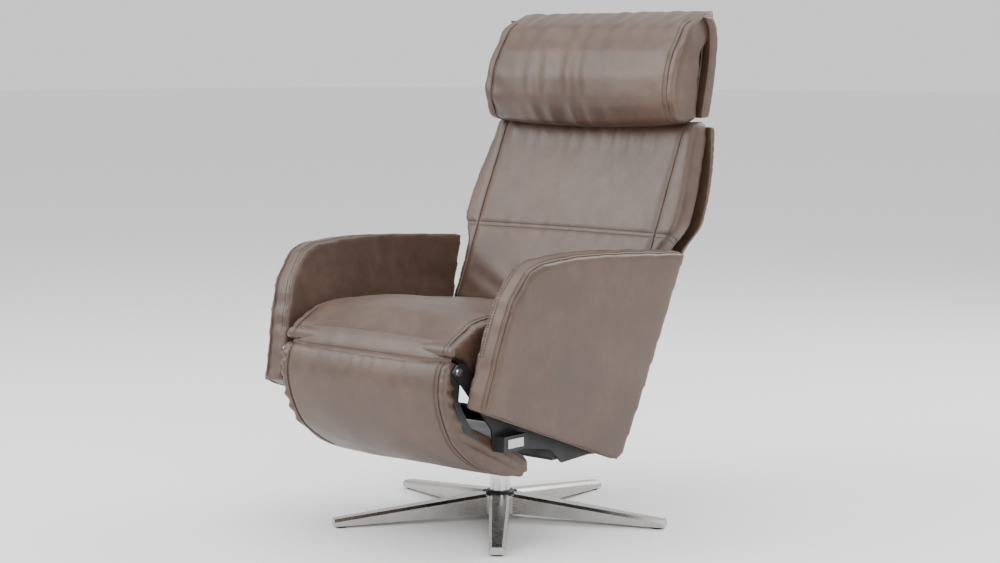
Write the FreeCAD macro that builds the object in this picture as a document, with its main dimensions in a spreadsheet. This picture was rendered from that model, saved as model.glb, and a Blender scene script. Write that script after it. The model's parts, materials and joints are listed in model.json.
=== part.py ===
import FreeCAD, Part

import math
import os
import re

# Swivel recliner armchair on a five-star base.
# Frame: +X to the sitter's left arm, -Y to the front, +Z up, origin on the floor under the swivel axis.
# All sizes are millimetres and degrees. Outlines of the upholstered parts are lists of (y, z) points.

V = FreeCAD.Vector

SIZES = {
    # star base
    "leg_count": 5, "leg_heading": -49.4, "hub_reach": 38.0, "hub_low": 12.0, "hub_top": 52.0,
    "base_reach": 372.0, "leg_root_width": 46.0, "leg_end_width": 32.0, "leg_root_top": 55.0,
    "leg_end_top": 19.0, "leg_bevel": 6.0, "pad_thick": 4.0, "pad_rad": 13.0, "pad_inset": 17.0,
    # column and swivel
    "column_rad": 22.5, "column_wall": 2.5, "column_top": 168.0, "collar_rad": 31.0, "collar_high": 8.0,
    "spindle_rad": 14.0, "spindle_low": 66.0, "bush_long": 20.0, "bush_flange": 3.0, "swivel_gap": 0.05,
    "clip_rad": 18.0, "clip_thick": 2.0, "clip_groove": 2.0, "clip_drop": 0.3,
    # chassis
    "plate_thick": 6.0, "plate_deep": 220.0, "side_inner": 240.0, "side_thick": 5.0,
    "tube_size": 25.0, "tube_wall": 2.0, "front_tube_y": -205.0, "front_tube_z": 255.0,
    "rear_tube_y": 2.0, "rear_tube_z": 203.0,
    # arms: sheets leaning outwards by arm_lean, measured at height arm_ref
    "arm_inner": 263.5, "arm_ref": 320.0, "arm_lean": 6.277, "arm_pad": 16.0, "arm_core": 22.0,
    "arm_skin": 18.6, "bolt_rad": 4.0, "bolt_head_rad": 8.0, "bolt_head": 5.0, "bolt_grip": 14.0,
    # seat
    "seat_half": 237.0, "seat_rail_half": 222.0, "rail_size": 18.0, "strap_thick": 2.0, "strap_wide": 45.0,
    "strap_count": 5, "seat_slope": 5.1, "seat_front": -345.0, "seat_rear": 100.0, "seat_under": 375.0,
    # leg rest
    "leg_axis_y": -398.0, "leg_axis_z": 388.0, "leg_half": 234.0, "lug_thick": 4.0, "side_play": 0.7,
    "leg_nose": 18.0, "crank_arm": 55.0, "crank_swing": 50.0, "crank_fall": 15.0,
    "pivot_rad": 5.0, "pivot_play": 0.05, "lug_rad": 14.0,
    # backrest
    "back_axis_y": 135.0, "back_axis_z": 395.0, "back_lean": 24.1, "back_half": 272.0,
    "back_lever": 102.0, "back_swing": 19.0, "back_hinge_inner": 235.0, "upright_half": 160.0,
    "upright_size": 14.0, "upright_y": 205.0, "upright_low": 476.0, "upright_high": 806.0,
    "shell_thick": 12.0, "shell_half": 284.0, "shell_curl": 22.0,
    # headrest
    "head_pin_rad": 4.0, "head_axis_y": 318.0, "head_axis_z": 855.0, "head_half": 272.0, "head_board": 12.0, "head_curl": 26.0, "cover_thick": 30.0,
    # actuators
    "motor_rad": 20.0, "back_motor_long": 170.0, "leg_motor_long": 115.0, "rod_rad": 6.0,
    "rod_play": 0.05, "motor_gap": 9.0, "pin_rad": 5.0, "slot_play": 0.6,
    "yoke_thick": 12.0, "ear_thick": 4.0, "ear_play": 1.0, "back_motor_x": 60.0, "leg_motor_x": -60.0,
    # control panel and buttons
    "control_wide": 25.0, "panel_y": -170.0, "panel_z": 500.0, "button_rad": 7.0, "button_gap": 22.0, "button_out": 3.0,
    "button_travel": 1.5, "button_play": 0.3, "panel_thick": 6.0,
}

# side outlines (y, z)
ARM_OUTLINE = [
    (-401, 321), (-385, 380), (-368, 457), (-343, 533), (-299, 589), (-262, 603), (-163, 610),
    (-100, 610), (32, 605), (203, 594), (171, 509), (134, 394), (85, 260), (51, 174), (28, 164),
    (-174, 238), (-302, 284),
]
SEAT_OUTLINE = [
    (-406, 417.5), (-398, 436), (-371, 449), (-333, 468), (-283, 478), (-227, 479), (-70, 464),
    (60, 442), (105, 430), (98, 336), (-345, 375.5), (-362, 402), (-372, 410),
]
LEG_FRONT = [
    (-411, 404), (-419, 388), (-425, 358), (-419, 315), (-405, 277), (-384, 240), (-350, 210),
    (-292, 178), (-217, 155), (-190, 152),
]
LEG_BACK = [
    (-179, 160), (-180, 183), (-222, 207), (-295, 242), (-350, 268), (-366, 290),
    (-368, 304), (-396, 308), (-396, 402),
]
BACK_CUSHION = [
    (138, 446), (213, 616), (311, 836), (322, 842), (350, 842), (352.4, 812), (215.8, 504),
    (192, 430), (166, 430),
]
SHELL_SPINE = [(239.5, 424), (274.5, 500), (315, 600), (355, 700), (385, 790), (392, 846)]
HEAD_PILLOW = [
    (300, 868), (272, 874), (254, 912), (260, 959), (281, 1012), (316, 1056), (352, 1086),
    (352, 1040), (347, 960), (338, 868),
]
COVER_SPINE = [(396, 866), (412, 930), (425, 1000), (424, 1060), (408, 1098)]
SIDE_PLATE = [
    (-398, 402), (-380, 402), (-340, 362), (-300, 360), (60, 330), (120, 409), (150, 409), (156, 380),
    (128, 270), (84, 160), (5, 168), (-83, 163), (-120, 196), (-222, 214), (-292, 216), (-300, 262), (-330, 296), (-412, 388),
]

doc = FreeCAD.newDocument("Recliner")
sheet = doc.addObject("Spreadsheet::Sheet", "Sizes")
for row, (alias, value) in enumerate(SIZES.items(), 1):
    sheet.set(f"A{row}", alias)
    sheet.set(f"B{row}", str(value))
    sheet.setAlias(f"B{row}", alias)
doc.recompute()

nodes = []


def size(alias):
    """A driving dimension, read from the sheet."""
    return float(sheet.get(alias))


def tie(thing, **expressions):
    """Bind properties to the sheet; names in an expression are the sheet's aliases."""
    for name, text in expressions.items():
        path = name.replace("__", ".")
        bound = re.sub(r"[a-z_]+", lambda word: "Sizes." + word[0] if word[0] in SIZES else word[0], text)
        thing.setExpression(path, bound)


def keep(thing, label):
    """Name a sub-part; its label is its file's name."""
    thing.Label = label
    nodes.append(thing)
    return thing


def place(thing, x="0", y="0", z="0"):
    tie(thing, Placement__Base__x=x, Placement__Base__y=y, Placement__Base__z=z)
    return thing


def box(name, long_x, long_y, long_z, x, y, z):
    thing = doc.addObject("Part::Box", name)
    tie(thing, Length=long_x, Width=long_y, Height=long_z)
    return place(thing, x, y, z)


def cylinder(name, radius, height, x="0", y="0", z="0"):
    thing = doc.addObject("Part::Cylinder", name)
    tie(thing, Radius=radius, Height=height)
    return place(thing, x, y, z)


def turned(thing, axis, angle):
    """Turn a primitive about one of its own axes."""
    thing.Placement = FreeCAD.Placement(thing.Placement.Base, FreeCAD.Rotation(axis, angle))
    return thing


def cross_cylinder(name, radius, length, x, y, z):
    """A cylinder that starts at x and runs along +X."""
    return turned(cylinder(name, radius, length, x, y, z), V(0, 1, 0), 90)


def cut(name, base, tool):
    thing = doc.addObject("Part::Cut", name)
    thing.Base = base
    thing.Tool = tool
    return thing


def fuse(name, pieces):
    thing = doc.addObject("Part::MultiFuse", name)
    thing.Shapes = pieces
    return thing


def group(name, pieces):
    """Identical or paired pieces that share one node as separate solids."""
    thing = doc.addObject("Part::Compound", name)
    thing.Links = pieces
    return thing


def outline_wire(points):
    """A closed wire of straight runs through (y, z) points, in the plane x = 0."""
    corners = [V(0, y, z) for y, z in points]
    return Part.makePolygon(corners + corners[:1])


def slab(name, points, x_low, thick):
    """A side outline padded along +X from x_low."""
    thing = doc.addObject("Part::Extrusion", name)
    outline = doc.addObject("Part::Feature", name + "_outline")
    outline.Shape = Part.Face(outline_wire(points))
    thing.Base = outline
    thing.Dir = V(1, 0, 0)
    thing.DirMode = "Custom"
    thing.Solid = True
    tie(thing, LengthFwd=thick)
    return place(thing, x=x_low)


def sketch_on(body, role, name, points, offset=None):
    """A closed polygon sketch on one of the body's own origin planes."""
    plane = [f for f in body.Origin.OriginFeatures if f.Role == role][0]
    sketch = body.newObject("Sketcher::SketchObject", name)
    sketch.AttachmentSupport = [(plane, "")]
    sketch.MapMode = "FlatFace"
    if offset:
        tie(sketch, AttachmentOffset__Base__z=offset)
    corners = [V(a, b, 0) for a, b in points]
    for start, end in zip(corners, corners[1:] + corners[:1]):
        sketch.addGeometry(Part.LineSegment(start, end))
    return sketch


def revolved(name, points):
    """A body turned about Z from an (r, z) outline."""
    body = doc.addObject("PartDesign::Body", name)
    sketch = sketch_on(body, "XZ_Plane", name + "_profile", points)
    turn = body.newObject("PartDesign::Revolution", name + "_turn")
    turn.Profile = sketch
    turn.ReferenceAxis = (sketch, ["V_Axis"])
    turn.Angle = 360
    return body


# ---------------------------------------------------------------- star base

def leg_section(half, low, top):
    """A leg's cross-section: upright sides with bevelled top edges."""
    bevel = size("leg_bevel")
    right = [(half, low), (half, top - bevel), (half - bevel, top)]
    return right + [(-a, b) for a, b in reversed(right)]


def star_leg(number):
    body = doc.addObject("PartDesign::Body", f"leg_{number}")
    low, pad = size("hub_low"), size("pad_thick")
    root, tip = size("leg_root_width") / 2, size("leg_end_width") / 2
    flat_start = size("base_reach") - 2 * size("pad_inset")
    share = (flat_start - size("hub_reach")) / (size("base_reach") - size("hub_reach"))
    mid_top = size("leg_root_top") + share * (size("leg_end_top") - size("leg_root_top"))
    sections = [
        ("hub_reach", leg_section(root, low, size("leg_root_top"))),
        ("base_reach - 2 * pad_inset", leg_section(root + share * (tip - root), pad, mid_top)),
        ("base_reach", leg_section(tip, pad, size("leg_end_top"))),
    ]
    sketches = [
        sketch_on(body, "YZ_Plane", f"leg_{number}_section_{i}", points, offset)
        for i, (offset, points) in enumerate(sections)
    ]
    loft = body.newObject("PartDesign::AdditiveLoft", f"leg_{number}_loft")
    loft.Profile = sketches[0]
    loft.Sections = sketches[1:]
    loft.Ruled = True
    tie(body, Placement__Rotation__Angle=f"leg_heading + {number - 1} * 360 / leg_count")
    return keep(body, f"base_leg_{number}")


def leg_glides():
    pads = []
    for number in range(int(size("leg_count"))):
        pad = cylinder(f"glide_{number}", "pad_rad", "pad_thick")
        heading = f"( leg_heading + {number} * 360 / leg_count ) * 1 deg"
        tie(pad, Placement__Base__x=f"( base_reach - pad_inset ) * cos( {heading} )",
            Placement__Base__y=f"( base_reach - pad_inset ) * sin( {heading} )")
        pads.append(pad)
    return keep(group("leg_glide_set", pads), "leg_glides")


def base_hub():
    """A prism with one flat face for each leg, bored for the column."""
    body = doc.addObject("PartDesign::Body", "hub")
    count = int(size("leg_count"))
    half_step = math.pi / count
    reach = size("hub_reach") / math.cos(half_step)
    corners = [
        (reach * math.cos(half_step * (2 * i + 1)), reach * math.sin(half_step * (2 * i + 1)))
        for i in range(count)
    ]
    block = body.newObject("PartDesign::Pad", "hub_block")
    block.Profile = sketch_on(body, "XY_Plane", "hub_outline", corners, "hub_low")
    tie(block, Length="hub_top - hub_low")
    tie(body, Placement__Rotation__Angle="leg_heading")
    bore = cylinder("hub_bore", "column_rad", "hub_top", z="0")
    return keep(cut("hub_bored", body, bore), "base_hub")


def column():
    outer, inner = size("column_rad"), size("column_rad") - size("column_wall")
    low, top = size("hub_low"), size("column_top")
    tube = revolved("column_body", [(inner, low), (outer, low), (outer, top), (inner, top)])
    keep(tube, "column_tube")
    ring = size("collar_rad")
    low, high = size("hub_top"), size("hub_top") + size("collar_high")
    collar = revolved("collar_body", [(outer, low), (ring, low), (ring, high - 3), (ring - 3, high), (outer, high)])
    keep(collar, "column_collar")


def bushes():
    wall = size("column_rad") - size("column_wall")
    bore = size("spindle_rad") + size("swivel_gap")
    top, flange, long = size("column_top"), size("bush_flange"), size("bush_long")
    upper = [(bore, top - long), (wall, top - long), (wall, top), (size("column_rad"), top),
             (size("column_rad"), top + flange), (bore, top + flange)]
    keep(revolved("upper_bush", upper), "swivel_bush_upper")
    low = size("spindle_low") + size("clip_groove") + size("clip_thick") + size("clip_drop")
    lower = [(bore, low), (wall, low), (wall, low + long), (bore, low + long)]
    keep(revolved("lower_bush", lower), "swivel_bush_lower")


def spindle():
    rad, groove = size("spindle_rad"), size("spindle_rad") - size("clip_groove")
    low = size("spindle_low")
    clip_low = low + size("clip_groove")
    clip_high = clip_low + size("clip_thick")
    top = size("column_top") + size("bush_flange")
    bar = [(0, low), (rad, low), (rad, clip_low), (groove, clip_low), (groove, clip_high), (rad, clip_high),
           (rad, top), (0, top)]
    keep(revolved("spindle_body", bar), "swivel_spindle")
    ring = [(groove, clip_low), (size("clip_rad"), clip_low), (size("clip_rad"), clip_high), (groove, clip_high)]
    keep(revolved("clip_body", ring), "spindle_clip")


# ---------------------------------------------------------------- chassis

SIDES = [("left", 1), ("right", -1)]


def plate_bottom():
    return "column_top + bush_flange"


def swivel_plate():
    plate = box("plate", "2 * side_inner", "plate_deep", "plate_thick", "0 - side_inner", "0 - plate_deep / 2",
                plate_bottom())
    keep(plate, "swivel_plate")


def side_plates():
    """Chassis sides, each drilled for the back pivot and the leg rest pivot."""
    for side, sign in SIDES:
        low = "side_inner" if sign > 0 else "0 - side_inner - side_thick"
        sheet_metal = slab(f"side_{side}", SIDE_PLATE, low, "side_thick")
        start = low + " - 1"
        drills = [
            cross_cylinder(f"side_{side}_bore_{i}", "pivot_rad + pivot_play", "side_thick + 2", start, y, z)
            for i, (y, z) in enumerate([("back_axis_y", "back_axis_z"), ("leg_axis_y", "leg_axis_z")])
        ]
        keep(cut(f"side_{side}_drilled", sheet_metal, fuse(f"side_{side}_bores", drills)), f"side_plate_{side}")


def cross_tubes():
    tubes = []
    for where in ("front", "rear"):
        y, z = f"{where}_tube_y", f"{where}_tube_z"
        outer = box(f"{where}_tube_outer", "2 * side_inner", "tube_size", "tube_size", "0 - side_inner", y, z)
        inner = box(f"{where}_tube_inner", "2 * side_inner + 2", "tube_size - 2 * tube_wall",
                    "tube_size - 2 * tube_wall", "0 - side_inner - 1", y + " + tube_wall", z + " + tube_wall")
        tubes.append(cut(f"{where}_tube", outer, inner))
    keep(group("tube_set", tubes), "chassis_cross_tubes")


def arm_inner_at(height):
    return size("arm_inner") + (height - size("arm_ref")) * math.tan(math.radians(size("arm_lean")))


def arm_stubs():
    """Short blocks from the chassis sides to the leaning inner faces of the arms."""
    stubs = []
    start = size("side_inner") + size("side_thick")
    for side, sign in SIDES:
        for where in ("front", "rear"):
            low = size(f"{where}_tube_z")
            high = low + size("tube_size")
            body = doc.addObject("PartDesign::Body", f"stub_{side}_{where}")
            points = [(start, low), (arm_inner_at(low), low), (arm_inner_at(high), high), (start, high)]
            points = [(sign * a, b) for a, b in points]
            pad = body.newObject("PartDesign::Pad", f"stub_{side}_{where}_pad")
            pad.Profile = sketch_on(body, "XZ_Plane", f"stub_{side}_{where}_outline", points)
            tie(pad, Length="tube_size")
            pad.Reversed = True
            tie(body, Placement__Base__y=f"{where}_tube_y")
            stubs.append(body)
    keep(group("stub_set", stubs), "arm_stubs")


def arm_slab(name, side, sign, inset, thick):
    """A layer of the arm: its outline padded sideways, then leant outwards."""
    slab_low = size("arm_inner") + inset if sign > 0 else -size("arm_inner") - inset - thick
    outline = doc.addObject("Part::Feature", f"{name}_{side}_outline")
    outline.Shape = Part.Face(outline_wire([(y, z - size("arm_ref")) for y, z in ARM_OUTLINE]))
    layer = doc.addObject("Part::Extrusion", f"{name}_{side}_layer")
    layer.Base = outline
    layer.DirMode = "Custom"
    layer.Dir = V(1, 0, 0)
    layer.Solid = True
    layer.LengthFwd = thick
    lean = FreeCAD.Rotation(V(0, 1, 0), sign * size("arm_lean"))
    pivot = V(sign * size("arm_inner"), 0, size("arm_ref"))
    shift = V(slab_low - sign * size("arm_inner"), 0, 0)
    layer.Placement = FreeCAD.Placement(pivot + lean.multVec(shift), lean)
    return layer


def arms():
    """Each arm: inner pad, core board and outer panel, face to face."""
    for side, sign in SIDES:
        inset = 0.0
        for name, alias in (("arm_inner_pad", "arm_pad"), ("arm_board", "arm_core"), ("arm_outer_panel", "arm_skin")):
            keep(arm_slab(name, side, sign, inset, size(alias)), f"{name}_{side}")
            inset += size(alias)


def arm_bolts():
    """Two bolt heads inside each chassis side, on the stubs' lines."""
    heads = []
    for side, sign in SIDES:
        x = "side_inner - bolt_head" if sign > 0 else "0 - side_inner"
        for where in ("front", "rear"):
            z = f"{where}_tube_z - bolt_head_rad - 2"
            y = f"{where}_tube_y + tube_size / 2"
            heads.append(cross_cylinder(f"bolt_{side}_{where}", "bolt_head_rad", "bolt_head", x, y, z))
    keep(group("bolt_set", heads), "arm_bolts")


# ---------------------------------------------------------------- seat

def rail_under(y):
    """Height of the seat frame's top face at y."""
    return size("seat_under") + (y - size("seat_front")) * -math.tan(math.radians(size("seat_slope")))


def seat_piece(name, x_low, y_low, x_long, y_long, thick, drop):
    """A block that lies along the seat's slope, drop below its top face."""
    lean = FreeCAD.Rotation(V(1, 0, 0), -size("seat_slope"))
    block = doc.addObject("Part::Box", name)
    block.Length, block.Width, block.Height = x_long, y_long, thick
    along = lean.multVec(V(0, 1, 0)) * (y_low - size("seat_front"))
    down = lean.multVec(V(0, 0, -1)) * (drop + thick)
    block.Placement = FreeCAD.Placement(V(x_low, size("seat_front"), size("seat_under")) + along + down, lean)
    return block


def seat_frame():
    rail, half = size("rail_size"), size("seat_rail_half")
    front, rear, strap = size("seat_front"), size("seat_rear"), size("strap_thick")
    sides = [
        seat_piece(f"seat_side_{side}", half if sign > 0 else -half - rail, front, rail, rear - front, rail, strap)
        for side, sign in SIDES
    ]
    keep(group("seat_side_set", sides), "seat_side_rails")
    ends = [
        seat_piece(f"seat_{where}", -half, y, 2 * half, rail, rail, strap)
        for where, y in (("front", front), ("rear", rear - rail))
    ]
    keep(group("seat_end_set", ends), "seat_end_rails")
    count, wide = int(size("strap_count")), size("strap_wide")
    pitch = 2 * half / count
    straps = [
        seat_piece(f"strap_{i}", -half + (i + 0.5) * pitch - wide / 2, front, wide, rear - front, strap, 0)
        for i in range(count)
    ]
    keep(group("strap_set", straps), "seat_webbing")
    cushion = slab("seat_pad", SEAT_OUTLINE, "0 - seat_half", "2 * seat_half")
    keep(cushion, "seat_cushion")


# ---------------------------------------------------------------- leg rest

LEG_LUG = [
    (-411, 394), (-398, 403), (-386, 396), (-384, 380), (-390, 330), (-352, 262), (-330, 252),
    (-338, 238), (-372, 260), (-402, 320), (-413, 378),
]


def leg_rest():
    """The padded apron, its board, and an end plate with the pivot hole at each side."""
    front = Part.BSplineCurve()
    front.interpolate([V(0, y, z) for y, z in LEG_FRONT])
    back = Part.makePolygon([V(0, y, z) for y, z in [LEG_FRONT[-1]] + LEG_BACK + [LEG_FRONT[0]]])
    outline = doc.addObject("Part::Feature", "leg_pad_outline")
    outline.Shape = Part.Face(Part.Wire([front.toShape()] + back.Edges))
    pad = doc.addObject("Part::Extrusion", "leg_pad_solid")
    pad.Base = outline
    pad.DirMode = "Custom"
    pad.Dir = V(1, 0, 0)
    pad.Solid = True
    tie(pad, LengthFwd="2 * leg_half")
    keep(place(pad, x="0 - leg_half"), "leg_rest_pad")
    board = slab("leg_board_solid", [(-366, 290), (-350, 268), (-343, 272), (-359, 293), (-361, 304), (-368, 304)],
                 "0 - leg_half + 20", "2 * leg_half - 40")
    keep(board, "leg_rest_board")
    lugs = []
    for side, sign in SIDES:
        low = "leg_half" if sign > 0 else "0 - leg_half - lug_thick"
        bore = cross_cylinder(f"leg_lug_{side}_bore", "pivot_rad + pivot_play", "lug_thick + 2", low + " - 1",
                              "leg_axis_y", "leg_axis_z")
        lugs.append(cut(f"leg_lug_{side}", slab(f"leg_lug_{side}_plate", LEG_LUG, low, "lug_thick"), bore))
    keep(group("leg_lug_set", lugs), "leg_end_plates")


def pivot_bolts(where, lug_inner):
    """A bolt through each chassis side into the swinging plate beside it."""
    bolts = []
    for side, sign in SIDES:
        long = f"side_inner + side_thick - {lug_inner}"
        x = lug_inner if sign > 0 else "0 - side_inner - side_thick"
        shank = cross_cylinder(f"{where}_bolt_{side}", "pivot_rad", long, x, f"{where}_axis_y", f"{where}_axis_z")
        head_x = "side_inner + side_thick" if sign > 0 else "0 - side_inner - side_thick - bolt_head"
        head = cross_cylinder(f"{where}_head_{side}", "bolt_head_rad", "bolt_head", head_x, f"{where}_axis_y",
                              f"{where}_axis_z")
        bolts.append(fuse(f"{where}_bolt_{side}_whole", [shank, head]))
    keep(group(f"{where}_bolt_set", bolts), f"{where}_pivot_bolts")


# ---------------------------------------------------------------- actuators

def slide_frame(axis_y, axis_z, arm, swing, fall):
    """Slot centre line of a crank: its foot point and its directions along the rod and along the slot."""
    fall = math.radians(fall)
    along = V(0, -math.cos(fall), math.sin(fall))
    down = V(0, -math.sin(fall), -math.cos(fall))
    mean = arm * (1 + math.cos(math.radians(swing))) / 2
    return V(0, axis_y, axis_z) + down * mean, along


def slot_half_height(arm, swing):
    """Half of the slot: the pin's own radius, its play, and half of the crank's rise and fall."""
    rise = arm * (1 - math.cos(math.radians(swing)))
    return rise / 2 + size("pin_rad") + size("slot_play")


def slot_half_width(arm, swing):
    """The pin strays from a straight-line ratio by this much over its swing."""
    angle = math.radians(swing)
    chord = math.sin(angle) / angle
    worst = math.acos(chord)
    stray = arm * (math.sin(worst) - worst * chord)
    return stray + size("pin_rad") + size("slot_play")


def back_drive():
    """The back's rod is drawn into its housing as the back reclines."""
    arm, swing = size("back_lever"), size("back_swing")
    axis = (size("back_axis_y"), size("back_axis_z"))
    x, rim, thick = size("back_motor_x"), size("pin_rad"), size("yoke_thick")
    half_high, half_wide = slot_half_height(arm, swing), slot_half_width(arm, swing)
    travel = 2 * arm * math.sin(math.radians(swing))
    height = axis[1] - arm * (1 + math.cos(math.radians(swing))) / 2
    middle = axis[0] + travel / 2
    outer = Part.makeBox(thick, 2 * (half_wide + rim), 2 * (half_high + rim),
                         V(x - thick / 2, middle - half_wide - rim, height - half_high - rim))
    slot = Part.makeBox(2 * thick, 2 * half_wide, 2 * half_high,
                        V(x - thick, middle - half_wide, height - half_high))
    rod_start = middle - half_wide - rim
    mouth = rod_start - travel - size("motor_gap")
    reach = size("back_motor_long") - travel - 4 * size("motor_gap")
    rod = Part.makeCylinder(size("rod_rad"), rod_start - mouth + reach, V(x, rod_start, height), V(0, -1, 0))
    add_shape(outer.cut(slot).fuse(rod).removeSplitter(), "back_rod")
    body = Part.makeCylinder(size("motor_rad"), size("back_motor_long"), V(x, mouth, height), V(0, -1, 0))
    bore = Part.makeCylinder(size("rod_rad") + size("rod_play"), reach + travel + size("motor_gap"),
                             V(x, mouth, height), V(0, -1, 0))
    add_shape(body.cut(bore), "back_motor")
    low = size("column_top") + size("bush_flange") + size("plate_thick")
    post = Part.makeBox(20, 24, height - low, V(x - 10, -60, low)).cut(body)
    return post


def leg_drive():
    """The leg rest's rod is pushed out along a rising line."""
    arm, swing, fall = size("crank_arm"), size("crank_swing"), size("crank_fall")
    foot, along = slide_frame(size("leg_axis_y"), size("leg_axis_z"), arm, swing, fall)
    half_high, half_wide = slot_half_height(arm, swing), slot_half_width(arm, swing)
    x, rim, thick = size("leg_motor_x"), size("pin_rad"), size("yoke_thick")
    travel = 2 * arm * math.sin(math.radians(swing))
    centre = foot + V(x, 0, 0) - along * (travel / 2)
    outer = Part.makeBox(thick, 2 * (half_wide + rim), 2 * (half_high + rim),
                         V(-thick / 2, -half_wide - rim, -half_high - rim))
    slot = Part.makeBox(2 * thick, 2 * half_wide, 2 * half_high, V(-thick, -half_wide, -half_high))
    yoke = outer.cut(slot)
    yoke.Placement = FreeCAD.Placement(centre, FreeCAD.Rotation(V(1, 0, 0), -fall))
    rod_start = centre - along * (half_wide + rim)
    mouth = rod_start - along * size("motor_gap")
    reach = size("leg_motor_long") - 2 * size("motor_gap")
    rod = Part.makeCylinder(size("rod_rad"), reach, rod_start, along * -1)
    add_shape(yoke.fuse(rod).removeSplitter(), "leg_rod")
    body = Part.makeCylinder(size("motor_rad"), size("leg_motor_long"), mouth, along * -1)
    bore = Part.makeCylinder(size("rod_rad") + size("rod_play"), reach, mouth, along * -1)
    add_shape(body.cut(bore), "leg_motor")
    tail = mouth - along * size("leg_motor_long")
    back = size("front_tube_y")
    low = size("front_tube_z") + 4
    post = Part.makeBox(24, back - tail.y + 30, tail.z - low, V(x - 12, tail.y - 30, low)).cut(body)
    return post


def add_shape(shape, label):
    thing = doc.addObject("Part::Feature", label + "_solid")
    thing.Shape = shape
    return keep(thing, label)


def crank(label, outline, x, pin_y, pin_z):
    """Two ears on either side of a yoke, with the pin that runs in its slot."""
    inner = "( yoke_thick / 2 + ear_play )"
    pieces = []
    for sign in (1, -1):
        low = f"{x} + {inner}" if sign > 0 else f"{x} - {inner} - ear_thick"
        pieces.append(slab(f"{label}_ear_{sign + 1}", outline, low, "ear_thick"))
    pin = cross_cylinder(f"{label}_pin", "pin_rad", f"2 * ( {inner} + ear_thick )", f"{x} - {inner} - ear_thick",
                         str(pin_y), str(pin_z))
    keep(fuse(f"{label}_whole", pieces + [pin]), label)


def leg_crank():
    arm = size("crank_arm")
    angle = math.radians(-90 - size("crank_fall") + size("crank_swing"))
    y = size("leg_axis_y") + arm * math.cos(angle)
    z = size("leg_axis_z") + arm * math.sin(angle)
    outline = [(-360.4, 302.5), (y - 9, z), (y - 5, z + 9), (y + 5, z + 9), (y + 8, z - 2), (-357, 302),
               (-350.5, 288), (-352.4, 284.6)]
    crank("leg_crank", outline, "leg_motor_x", y, z)


def back_crank():
    arm, swing = size("back_lever"), math.radians(size("back_swing"))
    y = size("back_axis_y") + arm * math.sin(swing)
    z = size("back_axis_z") - arm * math.cos(swing)
    outline = [(206, 462), (236, 462), (222, 425), (y + 12, z - 3), (y, z - 12), (y - 12, z - 3), (y - 8, z + 8),
               (197, 430)]
    crank("back_crank", outline, "back_motor_x", y, z)


# ---------------------------------------------------------------- backrest

BACK_HINGE = [
    (121, 395), (128, 408), (140, 411), (194, 422), (222, 470), (232, 500), (240, 500), (229, 462), (218, 438),
    (203, 402), (150, 381), (135, 379), (124, 385),
]


def backrest():
    keep(slab("back_pad", BACK_CUSHION, "0 - back_half", "2 * back_half"), "back_cushion")
    plates = []
    for side, sign in SIDES:
        low = "back_hinge_inner" if sign > 0 else "0 - side_inner + side_play"
        thick = "side_inner - side_play - back_hinge_inner"
        bore = cross_cylinder(f"back_hinge_{side}_bore", "pivot_rad + pivot_play", thick + " + 2", low + " - 1",
                              "back_axis_y", "back_axis_z")
        plates.append(cut(f"back_hinge_{side}", slab(f"back_hinge_{side}_plate", BACK_HINGE, low, thick), bore))
    keep(group("back_hinge_set", plates), "back_hinge_plates")
    foot = size("upright_low") - size("upright_size")
    lower = box("back_tube_low", "2 * back_hinge_inner", "upright_size", "upright_size", "0 - back_hinge_inner",
                "upright_y + 16.4", str(foot))
    keep(lower, "back_cross_tube_lower")
    lean = math.tan(math.radians(size("back_lean")))
    rise = size("upright_high") - size("upright_low")
    y, low, thick = size("upright_y"), size("upright_low"), size("upright_size")
    outline = [(y + 2, low), (y + 30, low), (y + 30, low + 6), (y + lean * rise + thick, low + rise),
               (y + lean * rise, low + rise)]
    for side, sign in SIDES:
        x = "upright_half" if sign > 0 else "0 - upright_half - upright_size"
        keep(slab(f"upright_{side}_bar", outline, x, "upright_size"), f"back_upright_{side}")
    top = box("back_tube_top", "2 * upright_half", "upright_size", "upright_size", "0 - upright_half",
              str(y + lean * rise), "upright_high - upright_size")
    keep(top, "back_cross_tube_upper")


def crescent(half, y_rear, z, thick, curl):
    """A level section of a shell that is flat behind the sitter and curls forward at its sides."""
    steps = 8

    def edge(shift):
        across = [half * (2 * i / steps - 1) for i in range(steps + 1)]
        curve = Part.BSplineCurve()
        curve.interpolate([V(x, y_rear - shift - curl * (abs(x) / half) ** 4, z) for x in across])
        return curve

    rear, front = edge(0), edge(thick)
    ends = [Part.makeLine(rear.value(rear.LastParameter), front.value(front.LastParameter)),
            Part.makeLine(front.value(front.FirstParameter), rear.value(rear.FirstParameter))]
    return Part.Wire([rear.toShape(), ends[0], front.toShape(), ends[1]])


def curled_shell(label, spine, half, thick, curl):
    sections = [crescent(half, y, z, thick, curl) for y, z in spine]
    add_shape(Part.makeLoft(sections, True, False), label)


def back_shell():
    curled_shell("back_shell", SHELL_SPINE, size("shell_half"), size("shell_thick"), size("shell_curl"))


# ---------------------------------------------------------------- headrest

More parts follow.
